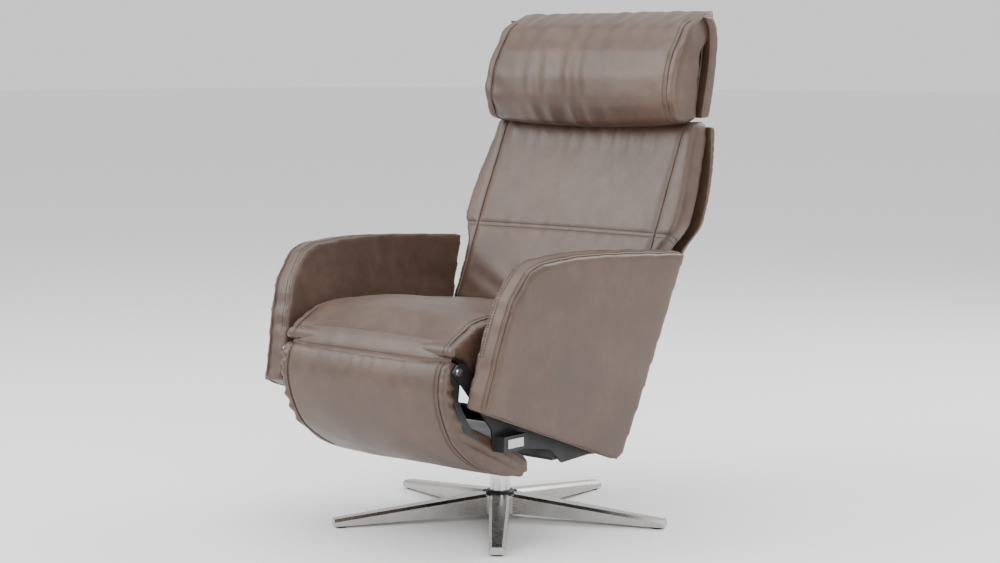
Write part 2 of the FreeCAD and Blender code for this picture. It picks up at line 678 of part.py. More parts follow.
def headrest():
    keep(slab("head_pillow_solid", HEAD_PILLOW, "0 - head_half", "2 * head_half"), "head_pillow")
    board = [(339, 872), (348, 960), (353, 1040), (365, 1040), (361, 960), (355.3, 872)]
    keep(slab("head_board_solid", board, "0 - head_half + 40", "2 * head_half - 80"), "head_board")
    curled_shell("head_cover", COVER_SPINE, size("head_half") + 12, size("cover_thick"), size("head_curl"))
    y, z = size("head_axis_y"), size("head_axis_z")
    fixed, swinging, pins = [], [], []
    rise = size("upright_high")
    for side, sign in SIDES:
        mid = sign * (size("upright_half") + size("upright_size") / 2)
        ear = [(y - 8, z - 4), (y - 6, z + 6), (y + 6, z + 6), (y + 34, z + 2), (y + 50, rise), (y + 36, rise),
               (y + 34, z - 10), (y + 8, z - 8)]
        leaf = [(y - 7, z - 4), (y - 7, z + 6), (y + 20.5, z + 12), (y + 22, z + 17), (y + 33, z + 17), (y + 33, z + 9),
                (y + 8, z - 6)]
        low = mid - 5
        fixed.append(slab(f"head_ear_{side}", ear, str(low), "ear_thick"))
        bore = cross_cylinder(f"head_leaf_{side}_bore", "head_pin_rad + pivot_play", "ear_thick + 2",
                              str(low + 5 - 1), "head_axis_y", "head_axis_z")
        plate = slab(f"head_leaf_{side}_plate", leaf, str(low + 5), "ear_thick")
        swinging.append(cut(f"head_leaf_{side}", plate, bore))
        pins.append(cross_cylinder(f"head_pin_{side}", "head_pin_rad", "ear_thick + 4", str(low + 4), "head_axis_y",
                                   "head_axis_z"))
    ears = [fuse(f"head_bracket_{i}", [ear, pin]) for i, (ear, pin) in enumerate(zip(fixed, pins))]
    keep(group("head_ear_set", ears), "head_hinge_brackets")
    keep(group("head_leaf_set", swinging), "head_hinge_leaves")


# ---------------------------------------------------------------- control box, panel and buttons

def control_box():
    x = "side_inner + side_thick"
    keep(box("box_case", "control_wide", "70", "32", x, "-292", "216"), "control_box")
    keep(box("box_plate", "1", "46", "18", x + " + control_wide", "-280", "223"), "rating_plate")


def lean_onto_arm(shape, depth):
    """Carry a shape drawn about the origin, +X into the arm, onto the left arm's inner face."""
    lean = FreeCAD.Rotation(V(0, 1, 0), size("arm_lean"))
    at = V(arm_inner_at(size("panel_z")), size("panel_y"), size("panel_z"))
    shape.Placement = FreeCAD.Placement(at + lean.multVec(V(depth, 0, 0)), lean)
    return shape


def control_panel():
    count, gap, rad = 4, size("button_gap"), size("button_rad")
    thick, bore = size("panel_thick"), size("button_rad") + size("button_play")
    long = count * gap + 12
    panel = Part.makeBox(thick, long, 2 * rad + 14, V(-thick, -long / 2, -rad - 7))
    places = [(i - (count - 1) / 2) * gap for i in range(count)]
    for y in places:
        panel = panel.cut(Part.makeCylinder(bore, 2 * thick, V(-1.5 * thick, y, 0), V(1, 0, 0)))
    add_shape(lean_onto_arm(panel, 0), "control_panel")
    inside = thick - size("button_travel") - 0.5
    for number, y in enumerate(places, 1):
        button = Part.makeCylinder(rad, inside + size("button_out"), V(-thick - size("button_out"), y, 0),
                                   V(1, 0, 0))
        crown = [edge for edge in button.Edges if edge.BoundBox.XMax < -thick - size("button_out") + 0.1]
        button = button.makeFillet(1.0, crown[:1])
        add_shape(lean_onto_arm(button, 0), f"button_{number}")


# ---------------------------------------------------------------- build and write

for number in range(1, int(size("leg_count")) + 1):
    star_leg(number)
leg_glides()
base_hub()
column()
bushes()
spindle()
swivel_plate()
side_plates()
cross_tubes()
arm_stubs()
arms()
arm_bolts()
seat_frame()
leg_rest()
pivot_bolts("leg", "leg_half")
posts = [leg_drive()]
leg_crank()
backrest()
pivot_bolts("back", "back_hinge_inner")
back_shell()
posts.append(back_drive())
add_shape(Part.Compound(posts), "motor_posts")
back_crank()
headrest()
control_box()
control_panel()
doc.recompute()

for thing in doc.Objects:
    if "Invalid" in thing.State or "Error" in thing.State:
        raise RuntimeError(f"{thing.Label} failed to rebuild: {thing.State}")
for thing in nodes:
    if thing.Shape.isNull() or not thing.Shape.isValid():
        raise RuntimeError(f"{thing.Label} has no valid shape")

os.makedirs("parts", exist_ok=True)
for thing in nodes:
    thing.Shape.exportStep(f"parts/{thing.Label}.step")
print(len(nodes), "nodes written")
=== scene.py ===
import json
import math

import bmesh
import bpy
import numpy as np
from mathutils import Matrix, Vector
from mathutils.bvhtree import BVHTree
from mathutils.kdtree import KDTree


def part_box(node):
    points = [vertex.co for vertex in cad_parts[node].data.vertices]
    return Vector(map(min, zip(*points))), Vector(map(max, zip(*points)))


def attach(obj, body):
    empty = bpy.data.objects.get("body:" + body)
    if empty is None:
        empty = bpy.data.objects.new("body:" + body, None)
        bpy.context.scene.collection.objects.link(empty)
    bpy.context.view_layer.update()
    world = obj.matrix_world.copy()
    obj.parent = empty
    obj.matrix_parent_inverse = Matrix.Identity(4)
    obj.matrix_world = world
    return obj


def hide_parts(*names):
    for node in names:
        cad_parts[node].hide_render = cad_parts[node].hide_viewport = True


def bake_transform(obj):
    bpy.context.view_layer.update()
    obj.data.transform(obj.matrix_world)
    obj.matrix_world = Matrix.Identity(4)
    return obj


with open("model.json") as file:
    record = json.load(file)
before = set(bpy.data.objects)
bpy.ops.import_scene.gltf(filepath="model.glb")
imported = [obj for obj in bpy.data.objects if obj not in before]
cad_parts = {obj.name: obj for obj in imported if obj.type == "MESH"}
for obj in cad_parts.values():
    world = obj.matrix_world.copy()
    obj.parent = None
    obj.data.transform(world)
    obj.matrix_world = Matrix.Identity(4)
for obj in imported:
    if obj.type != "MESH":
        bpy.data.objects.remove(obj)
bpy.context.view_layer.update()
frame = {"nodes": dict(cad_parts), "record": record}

bl_info = {
    "name": "Leather recliner looks",
    "version": (1, 0, 0),
    "blender": (4, 5, 0),
    "location": "3D View > Sidebar > Recliner",
    "description": "Upholstery, stitching, metal finishes and studio for a recliner armchair",
    "category": "Object",
}

MM = 0.001


# ---------------------------------------------------------------- settings

class LeatherSettings(bpy.types.PropertyGroup):
    """Hide and thread."""
    hide: bpy.props.FloatVectorProperty(name="Hide", description="Colour of the leather", subtype="COLOR",
                                        default=(0.070, 0.038, 0.024), min=0, max=1)
    worn: bpy.props.FloatVectorProperty(name="Worn", description="Colour where the hide is stretched",
                                        subtype="COLOR", default=(0.100, 0.057, 0.037), min=0, max=1)
    thread: bpy.props.FloatVectorProperty(name="Thread", description="Colour of the stitching", subtype="COLOR",
                                          default=(0.035, 0.022, 0.016), min=0, max=1)
    mesh_step: bpy.props.FloatProperty(name="Mesh step", description="Size of the upholstery's mesh cells",
                                       default=0.0055, unit="LENGTH")
    piping: bpy.props.FloatProperty(name="Piping", description="Radius of the piped seams", default=0.0022,
                                    unit="LENGTH")
    stitch_pitch: bpy.props.FloatProperty(name="Stitch pitch", description="Distance between stitches",
                                          default=0.0058, unit="LENGTH")
    stitch_long: bpy.props.FloatProperty(name="Stitch length", description="Length of one stitch", default=0.004,
                                         unit="LENGTH")
    stitch_thick: bpy.props.FloatProperty(name="Stitch thickness", description="Thickness of the thread",
                                          default=0.0009, unit="LENGTH")


class MetalSettings(bpy.types.PropertyGroup):
    """Base, column and mechanism."""
    base: bpy.props.FloatVectorProperty(name="Star base", description="Colour of the brushed star base",
                                        subtype="COLOR", default=(0.50, 0.485, 0.47), min=0, max=1)
    black: bpy.props.FloatVectorProperty(name="Mechanism", description="Colour of the coated mechanism",
                                         subtype="COLOR", default=(0.016, 0.016, 0.017), min=0, max=1)


class StudioSettings(bpy.types.PropertyGroup):
    """Camera and lights."""
    heading: bpy.props.FloatProperty(name="Heading", description="Camera's turn from the front", subtype="ANGLE",
                                     default=math.radians(41.576))
    away: bpy.props.FloatProperty(name="Distance", description="Camera's level distance from the swivel axis",
                                  default=4.363, unit="LENGTH")
    height: bpy.props.FloatProperty(name="Height", description="Camera's height", default=0.985, unit="LENGTH")
    pitch: bpy.props.FloatProperty(name="Pitch", description="How far the camera looks down", subtype="ANGLE",
                                   default=math.radians(6.132))
    lens: bpy.props.FloatProperty(name="Lens", description="Focal length in millimetres", default=73.04)


# ---------------------------------------------------------------- shader maths

class Shade:
    """A shader socket, or a number, that adds Math nodes when it is used in an expression."""

    def __init__(self, nodes, socket):
        self.nodes = nodes
        self.socket = socket

    def maths(self, operation, other, flipped=False):
        values = [other, self] if flipped else [self, other]
        return self.nodes.add("ShaderNodeMath", {"operation": operation}, values)

    def __add__(self, other):
        return self.maths("ADD", other)

    def __sub__(self, other):
        return self.maths("SUBTRACT", other)

    def __mul__(self, other):
        return self.maths("MULTIPLY", other)

    def __rsub__(self, other):
        return self.maths("SUBTRACT", other, True)

    __radd__ = __add__
    __rmul__ = __mul__


class Finish:
    """One material: its node tree, its Principled shader, and one method that adds any other node."""

    def __init__(self, name, colour, roughness, metallic=0.0):
        self.material = bpy.data.materials.new(name)
        self.material.use_nodes = True
        self.tree = self.material.node_tree
        self.shader = self.tree.nodes["Principled BSDF"]
        self.set("Base Color", (*colour, 1))
        self.set("Roughness", roughness)
        self.set("Metallic", metallic)
        self.place = self.add("ShaderNodeTexCoord", {}, [], "Object")

    def set(self, name, value):
        socket = self.shader.inputs[name]
        if isinstance(value, Shade):
            self.tree.links.new(value.socket, socket)
        else:
            socket.default_value = value

    def add(self, kind, settings, values, output=0):
        node = self.tree.nodes.new(kind)
        for key, value in settings.items():
            if key == "stops":
                self.fill_ramp(node.color_ramp, value)
            else:
                setattr(node, key, value)
        named = values.items() if isinstance(values, dict) else enumerate(values)
        for key, value in named:
            if isinstance(value, Shade):
                self.tree.links.new(value.socket, node.inputs[key])
            else:
                node.inputs[key].default_value = value
        return Shade(self, node.outputs[output])

    @staticmethod
    def fill_ramp(ramp, stops):
        while len(ramp.elements) < len(stops):
            ramp.elements.new(1)
        for element, (at, colour) in zip(ramp.elements, stops):
            element.position = at
            element.color = (*colour, 1)

    def noise(self, scale, detail=3.0, rough=0.5, where=None):
        return self.add("ShaderNodeTexNoise", {}, {"Vector": where or self.place, "Scale": scale,
                                                   "Detail": detail, "Roughness": rough})

    def cells(self, scale, feature="F1", where=None):
        return self.add("ShaderNodeTexVoronoi", {"feature": feature},
                        {"Vector": where or self.place, "Scale": scale}, "Distance")

    def stretch(self, scale):
        return self.add("ShaderNodeMapping", {}, {"Vector": self.place, "Scale": scale})

    def span(self, value, low, high, new_low, new_high):
        return self.add("ShaderNodeMapRange", {}, [value, low, high, new_low, new_high])

    def ramp(self, value, stops):
        return self.add("ShaderNodeValToRGB", {"stops": stops}, [value])

    def bump(self, height, strength, distance):
        self.set("Normal", self.add("ShaderNodeBump", {}, {"Height": height, "Strength": strength,
                                                           "Distance": distance}, "Normal"))


finishes = {}


def finish(name, maker):
    if name not in finishes:
        finishes[name] = maker(name).material
    return finishes[name]


def leather(name):
    """Semi-gloss pigmented hide: pebbled grain, fine pores, cloudy tone and a worn sheen."""
    kit = bpy.context.scene.recliner_leather
    hide, worn = tuple(kit.hide), tuple(kit.worn)
    made = Finish(name, hide, 0.42)
    cloud = made.noise(7, 5, 0.6)
    blotch = made.noise(38, 4, 0.55)
    tone = cloud * 0.65 + blotch * 0.35
    dark = tuple(0.72 * c for c in hide)
    made.set("Base Color", made.ramp(tone, [(0.34, dark), (0.5, hide), (0.68, worn)]))
    grain = made.cells(620, "SMOOTH_F1")
    pores = made.cells(1900)
    creases = made.noise(150, 6, 0.65)
    made.set("Roughness", made.span(blotch * 0.6 + creases * 0.4, 0.3, 0.7, 0.34, 0.50))
    made.bump(grain * 0.55 + pores * 0.15 + creases * 0.6, 0.42, 0.0009)
    made.set("Specular IOR Level", 0.62)
    made.set("Sheen Weight", 0.04)
    made.set("Sheen Roughness", 0.45)
    return made


def thread(name):
    made = Finish(name, tuple(bpy.context.scene.recliner_leather.thread), 0.6)
    twist = made.noise(2400, 2)
    made.bump(twist, 0.5, 0.0003)
    made.set("Roughness", made.span(twist, 0.3, 0.7, 0.5, 0.75))
    return made


def brushed_base(name):
    """Cast star base, brushed along its arms."""
    colour = tuple(bpy.context.scene.recliner_metal.base)
    made = Finish(name, colour, 0.32, 1.0)
    streak = made.noise(90, 3, 0.6, made.stretch((1, 1, 14)))
    cloud = made.noise(14, 3)
    made.set("Roughness", made.span(streak * 0.5 + cloud * 0.5, 0.3, 0.7, 0.20, 0.36))
    made.set("Base Color", made.ramp(cloud, [(0.35, tuple(0.86 * c for c in colour)), (0.65, colour)]))
    made.bump(streak, 0.08, 0.0004)
    return made


def chrome(name):
    made = Finish(name, (0.72, 0.72, 0.73), 0.09, 1.0)
    made.set("Roughness", made.span(made.noise(30, 4), 0.3, 0.7, 0.06, 0.14))
    return made


def black_coat(name):
    """Powder coat with its orange peel."""
    made = Finish(name, tuple(bpy.context.scene.recliner_metal.black), 0.45)
    peel = made.noise(900, 2)
    made.set("Roughness", made.span(made.noise(20, 4), 0.3, 0.7, 0.38, 0.55))
    made.bump(peel, 0.25, 0.0004)
    return made


def moulded(colour, low, high):
    def maker(name):
        made = Finish(name, colour, low)
        made.set("Roughness", made.span(made.noise(40, 4), 0.3, 0.7, low, high))
        made.bump(made.noise(1500, 2), 0.18, 0.0003)
        return made
    return maker


def bright_steel(name):
    made = Finish(name, (0.55, 0.55, 0.56), 0.3, 1.0)
    made.set("Roughness", made.span(made.noise(160, 3), 0.3, 0.7, 0.22, 0.4))
    made.bump(made.noise(700, 3), 0.1, 0.0003)
    return made


def plywood(name):
    made = Finish(name, (0.5, 0.36, 0.22), 0.6)
    grain = made.noise(25, 6, 0.7, made.stretch((1, 12, 1)))
    made.set("Base Color", made.ramp(grain, [(0.3, (0.36, 0.24, 0.13)), (0.7, (0.56, 0.42, 0.27))]))
    made.bump(grain, 0.3, 0.0006)
    return made


def webbing(name):
    made = Finish(name, (0.03, 0.03, 0.032), 0.85)
    weave = made.add("ShaderNodeTexWave", {"bands_direction": "X"}, {"Vector": made.place, "Scale": 260.0})
    cross = made.add("ShaderNodeTexWave", {"bands_direction": "Y"}, {"Vector": made.place, "Scale": 260.0})
    made.set("Base Color", made.ramp(weave * 0.5 + cross * 0.5, [(0.2, (0.015, 0.015, 0.016)), (0.8, (0.05, 0.05, 0.052))]))
    made.bump(weave * 0.5 + cross * 0.5, 0.6, 0.0008)
    return made


SLOT_FINISHES = {
    "star_base": brushed_base, "column": chrome, "glides": moulded((0.012, 0.012, 0.012), 0.6, 0.8),
    "black_plastic": moulded((0.014, 0.014, 0.015), 0.4, 0.55), "bush": moulded((0.55, 0.54, 0.5), 0.4, 0.5),
    "buttons": moulded((0.08, 0.08, 0.085), 0.35, 0.5), "panel": moulded((0.02, 0.02, 0.022), 0.2, 0.3),
    "bare_plate": bright_steel, "webbing": webbing, "bright_steel": bright_steel,
    "motor_case": moulded((0.025, 0.025, 0.027), 0.4, 0.55), "black_steel": black_coat, "plywood": plywood,
    "leather": leather,
}


# ---------------------------------------------------------------- upholstery meshes

def from_frame(name, nodes):
    """A new piece that starts as a merged copy of frame nodes."""
    shape = bmesh.new()
    for node in nodes:
        shape.from_mesh(frame["nodes"][node].data)
    bmesh.ops.remove_doubles(shape, verts=shape.verts, dist=0.05 * MM)
    mesh = bpy.data.meshes.new(name)
    shape.to_mesh(mesh)
    shape.free()
    piece = bpy.data.objects.new(name, mesh)
    bpy.context.collection.objects.link(piece)
    return piece


def settle(piece):
    """Turn the evaluated piece into a plain mesh with no modifiers."""
    shape = piece.evaluated_get(bpy.context.evaluated_depsgraph_get())
    mesh = bpy.data.meshes.new_from_object(shape)
    piece.modifiers.clear()
    piece.data = mesh
    return piece


def skin(name, nodes, soften, step=None, grow=0.0, before=None):
    """Remesh frame nodes into one even skin, swell it by grow, and round its edges."""
    piece = from_frame(name, nodes)
    if before:
        shift(piece, before)
    voxel = piece.modifiers.new("Even mesh", "REMESH")
    voxel.mode = "VOXEL"
    voxel.voxel_size = step or bpy.context.scene.recliner_leather.mesh_step
    settle(piece)
    if grow:
        push(piece, lambda at, out: grow)
    relax = piece.modifiers.new("Round", "SMOOTH")
    relax.iterations = soften
    relax.factor = 0.5
    return settle(piece)


def read_points(piece):
    count = len(piece.data.vertices)
    at, out = np.empty(count * 3), np.empty(count * 3)
    piece.data.vertices.foreach_get("co", at)
    piece.data.vertex_normals.foreach_get("vector", out)
    return at.reshape(-1, 3), out.reshape(-1, 3)


def write_points(piece, at):
    if not np.isfinite(at).all():
        raise RuntimeError(f"{piece.name} has points with no place")
    piece.data.vertices.foreach_set("co", at.ravel())
    piece.data.update()


def push(piece, height):
    """Move every point along its normal by height(at, out)."""
    at, out = read_points(piece)
    write_points(piece, at + out * np.reshape(height(at, out), (-1, 1)))


def shift(piece, move):
    """Move every point by the vectors that move(at, out) gives."""
    at, out = read_points(piece)
    write_points(piece, at + move(at, out))


def ramp_between(value, low, high):
    share = np.clip((value - low) / (high - low), 0, 1)
    return share * share * (3 - 2 * share)


def bell(value, middle, wide):
    return np.exp(-((value - middle) / wide) ** 2)


def ripple(at, along, pitch, seed):
    """Uneven parallel folds across the direction along, between -1 and 1."""
    rng = np.random.default_rng(seed)
    way = np.array(along, float) / np.linalg.norm(along)
    total = np.zeros(len(at))
    for weight in (1.0, 0.6, 0.4):
        bend = rng.normal(0, 1, 3)
        sway = np.sin(at @ bend * 14 + rng.uniform(0, 6.3)) * pitch * 0.35
        length = pitch * rng.uniform(0.75, 1.35)
        total += weight * np.sin((at @ way + sway) * 2 * math.pi / length + rng.uniform(0, 6.3))
    return total / 2.0


def clouds(at, size, seed):
    """Soft lumps of about the given size, between -1 and 1."""
    rng = np.random.default_rng(seed)
    total = np.zeros(len(at))
    for _ in range(6):
        wave = rng.normal(0, 1, 3)
        wave *= 2 * math.pi / (size * np.linalg.norm(wave))
        total += np.sin(at @ wave + rng.uniform(0, 6.3))
    return total / 3.0


# ---------------------------------------------------------------- seams

def section(piece, point, normal, keep=None):
    """The longest line where a plane cuts the piece's surface, as an ordered list of points."""
    shape = bmesh.new()
    shape.from_mesh(piece.data)
    geometry = shape.verts[:] + shape.edges[:] + shape.faces[:]
    cut = bmesh.ops.bisect_plane(shape, geom=geometry, plane_co=Vector(point), plane_no=Vector(normal))["geom_cut"]
    edges = {e for e in cut if isinstance(e, bmesh.types.BMEdge)}
    if keep:
        edges = {e for e in edges if all(keep(*v.co) for v in e.verts)}
    lines = []
    while edges:
        edge = edges.pop()
        line = list(edge.verts)
        for end in (-1, 0):
            while True:
                tip = line[end]
                step = [e for e in tip.link_edges if e in edges]
                if not step:
                    break
                edges.discard(step[0])
                other = step[0].other_vert(tip)
                line.insert(0, other) if end == 0 else line.append(other)
        lines.append([v.co.copy() for v in line])
    shape.free()
    if not lines:
        raise RuntimeError(f"no seam on {piece.name} at {point}")
    return max(lines, key=len)


def even(line, pitch):
    """The line with points pitch apart, smoothed a little."""
    line = np.array([tuple(p) for p in line])
    steps = np.r_[0, np.cumsum(np.linalg.norm(np.diff(line, axis=0), axis=1))]
    count = max(4, int(steps[-1] / pitch))
    where = np.linspace(0, steps[-1], count)
    line = np.stack([np.interp(where, steps, line[:, i]) for i in range(3)], axis=1)
    for _ in range(3):
        line[1:-1] = (line[:-2] + 2 * line[1:-1] + line[2:]) / 4
    return line


def groove(piece, lines, depth, wide):
    """Press the seams into the skin."""
    points = np.vstack([even(line, 0.004) for line in lines])
    tree = KDTree(len(points))
    for number, point in enumerate(points):
        tree.insert(point, number)
    tree.balance()
    push(piece, lambda at, out: -depth * np.exp(-(np.array([tree.find(p)[2] for p in at]) / wide) ** 2))


def laid_on(piece, line, lift):
    """Points of a line brought onto the skin and lifted off it."""
    tree = BVHTree.FromObject(piece, bpy.context.evaluated_depsgraph_get())
    points = []
    for point in line:
        near, normal, _, _ = tree.find_nearest(Vector(point))
        points.append(near + normal * lift)
    return points


def piping(name, piece, lines, material, body, radius=None):
    """A round welt along each line."""
    radius = radius or bpy.context.scene.recliner_leather.piping
    curve = bpy.data.curves.new(name, "CURVE")
    curve.dimensions = "3D"
    curve.bevel_depth = radius
    curve.bevel_resolution = 3
    curve.use_fill_caps = True
    for line in lines:
        points = even(laid_on(piece, even(line, 0.006), radius * 0.35), 0.006)
        spline = curve.splines.new("POLY")
        spline.points.add(len(points) - 1)
        for spot, point in zip(spline.points, points):
            spot.co = (*point, 1)
        closed = np.linalg.norm(points[0] - points[-1]) < 0.02
        spline.use_cyclic_u = bool(closed)
    welt = bpy.data.objects.new(name, curve)
    bpy.context.collection.objects.link(welt)
    mesh = bpy.data.meshes.new_from_object(welt.evaluated_get(bpy.context.evaluated_depsgraph_get()))
    bpy.data.objects.remove(welt)
    welt = bpy.data.objects.new(name, mesh)
    bpy.context.collection.objects.link(welt)
    return dress(welt, material, body)


def stitch_tree():
    """Geometry nodes: stitches of a set size along every edge line."""
    tree = bpy.data.node_groups.new("Stitches", "GeometryNodeTree")
    for name, kind in (("Geometry", "NodeSocketGeometry"), ("Pitch", "NodeSocketFloat"),
                       ("Size", "NodeSocketVector"), ("Thread", "NodeSocketMaterial")):
        tree.interface.new_socket(name, in_out="INPUT", socket_type=kind)
    tree.interface.new_socket("Geometry", in_out="OUTPUT", socket_type="NodeSocketGeometry")
    made = {}
    for key, kind in (("in", "NodeGroupInput"), ("curve", "GeometryNodeMeshToCurve"),
                      ("points", "GeometryNodeCurveToPoints"), ("bead", "GeometryNodeMeshIcoSphere"),
                      ("rows", "GeometryNodeInstanceOnPoints"), ("real", "GeometryNodeRealizeInstances"),
                      ("paint", "GeometryNodeSetMaterial"), ("out", "NodeGroupOutput")):
        made[key] = tree.nodes.new(kind)
    made["points"].mode = "LENGTH"
    made["bead"].inputs["Radius"].default_value = 1
    made["bead"].inputs["Subdivisions"].default_value = 1
    for source, output, target, socket in (
        ("in", "Geometry", "curve", "Mesh"), ("curve", "Curve", "points", "Curve"),
        ("in", "Pitch", "points", "Length"), ("points", "Points", "rows", "Points"),
        ("points", "Rotation", "rows", "Rotation"), ("bead", "Mesh", "rows", "Instance"),
        ("in", "Size", "rows", "Scale"), ("rows", "Instances", "real", "Geometry"),
        ("real", "Geometry", "paint", "Geometry"), ("in", "Thread", "paint", "Material"),
        ("paint", "Geometry", "out", "Geometry"),
    ):
        tree.links.new(made[source].outputs[output], made[target].inputs[socket])
    return tree


def stitches(name, piece, lines, body):
    """Rows of thread laid on the skin along each line."""
    kit = bpy.context.scene.recliner_leather
    mesh = bpy.data.meshes.new(name)
    verts, edges = [], []
    for line in lines:
        points = laid_on(piece, even(line, 0.005), kit.stitch_thick * 0.3)
        edges += [(len(verts) + i, len(verts) + i + 1) for i in range(len(points) - 1)]
        verts += points
    mesh.from_pydata(verts, edges, [])
    rows = bpy.data.objects.new(name, mesh)
    bpy.context.collection.objects.link(rows)
    tree = bpy.data.node_groups.get("Stitches") or stitch_tree()
    sewing = rows.modifiers.new("Sewing", "NODES")
    sewing.node_group = tree
    values = {"Pitch": kit.stitch_pitch, "Size": (kit.stitch_thick, kit.stitch_thick, kit.stitch_long / 2),
              "Thread": finish("Thread", thread)}
    for item in tree.interface.items_tree:
        if item.in_out == "INPUT" and item.name in values:
            sewing[item.identifier] = values[item.name]
    settle(rows)
    return dress(rows, finish("Thread", thread), body)


def dress(piece, material, body, replaced=()):
    """Give a finished piece its material and body, and hide the frame nodes that it stands for."""
    piece.data.materials.clear()
    piece.data.materials.append(material)
    for face in piece.data.polygons:
        face.use_smooth = True
    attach(piece, body)
    if replaced:
        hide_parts(*replaced)
    return piece


# ---------------------------------------------------------------- pieces

def hide_finish():
    return finish("Leather", leather)


class RECLINER_OT_seat(bpy.types.Operator):
    """Seat cushion with its side seams and double-stitched front seam"""
    bl_idname = "recliner.seat"
    bl_label = "Seat cushion"

    def execute(self, context):
        low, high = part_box("seat_cushion")
        half, top = high.x, high.z
        seat = skin("seat_leather", ["seat_cushion"], 10, grow=3.5 * MM)

        def crown(at, out):
            across = 1 - np.clip(np.abs(at[:, 0]) / half, 0, 1) ** 2.2
            upward = np.clip(out[:, 2], 0, 1)
            rise = across * ramp_between(at[:, 1], low.y, low.y + 0.09) * 22 * MM * upward
            sat = bell(at[:, 0], 0, 0.17) * bell(at[:, 1], -0.12, 0.13) * 5 * MM * upward
            creases = ripple(at, (1, 0.25, 0), 0.045, 3) * bell(at[:, 1], high.y - 0.05, 0.07) * 2.2 * MM
            edge = ripple(at, (0, 1, 0.3), 0.05, 5) * ramp_between(np.abs(at[:, 0]), half - 0.05, half) * 1.6 * MM
            return rise - sat + creases * upward + edge + clouds(at, 0.16, 2) * 1.0 * MM

        push(seat, crown)
        front = section(seat, (0, low.y + 0.012, 0), (0, 1, 0), lambda x, y, z: z > top - 0.10)
        sides = [section(seat, (s * (half - 0.018), 0, 0), (1, 0, 0), lambda x, y, z: z > top - 0.085)
                 for s in (-1, 1)]
        groove(seat, [front] + sides, 2.6 * MM, 6 * MM)
        dress(seat, hide_finish(), "chassis", ["seat_cushion"])
        piping("seat_piping", seat, sides, hide_finish(), "chassis")
        rows = [section(seat, (0, low.y + 0.012 + d, 0), (0, 1, 0), lambda x, y, z: z > top - 0.10)
                for d in (-0.0045, 0.0045)]
        rows += [section(seat, (s * (half - 0.026), 0, 0), (1, 0, 0), lambda x, y, z: z > top - 0.085)
                 for s in (-1, 1)]
        stitches("seat_stitches", seat, rows[2:], "chassis")
        self.front_band(seat, half)
        return {"FINISHED"}

    def front_band(self, seat, half):
        """The leather that runs on from the seat into the leg rest, folded in at its seam."""
        pad_low, pad_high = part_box("leg_rest_pad")
        seat_low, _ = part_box("seat_cushion")
        profile = [(seat_low.y + 0.016, pad_high.z + 0.045), (seat_low.y + 0.004, pad_high.z + 0.032),
                   (seat_low.y - 0.0045, pad_high.z + 0.018), (seat_low.y - 0.009, pad_high.z + 0.006),
                   (seat_low.y - 0.0072, pad_high.z + 0.001), (seat_low.y - 0.0118, pad_high.z - 0.004),
                   (seat_low.y - 0.0165, pad_high.z - 0.018), (seat_low.y - 0.0205, pad_high.z - 0.036)]
        line = even([(0, y, z) for y, z in profile], 0.0035)
        reach = half - 0.012
        count = 120
        verts, faces = [], []
        for i in range(count + 1):
            x = reach * (2 * i / count - 1)
            tuck = 0.014 * (abs(x) / reach) ** 6
            drop = 0.012 * (abs(x) / reach) ** 4
            verts += [(x, y + tuck, z - drop) for _, y, z in line]
        rows = len(line)
        for i in range(count):
            for j in range(rows - 1):
                a = i * rows + j
                faces.append((a, a + rows, a + rows + 1, a + 1))
        mesh = bpy.data.meshes.new("front_band")
        mesh.from_pydata(verts, [], faces)
        band = bpy.data.objects.new("front_band", mesh)
        bpy.context.collection.objects.link(band)
        push(band, lambda at, out: ripple(at, (1, 0, 0.3), 0.05, 9) * 0.7 * MM)
        wall = band.modifiers.new("Hide", "SOLIDIFY")
        wall.thickness = 2.4 * MM
        wall.offset = 0
        settle(band)
        band.data.materials.append(hide_finish())
        for face in band.data.polygons:
            face.use_smooth = True
        seam_z = pad_high.z + 0.001
        rows = [section(band, (0, 0, seam_z + d), (0, 0, 1), lambda x, y, z: y < seat_low.y) for d in (-0.0055, 0.006)]
        stitches("front_band_stitches", band, rows, "chassis")
        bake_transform(band)


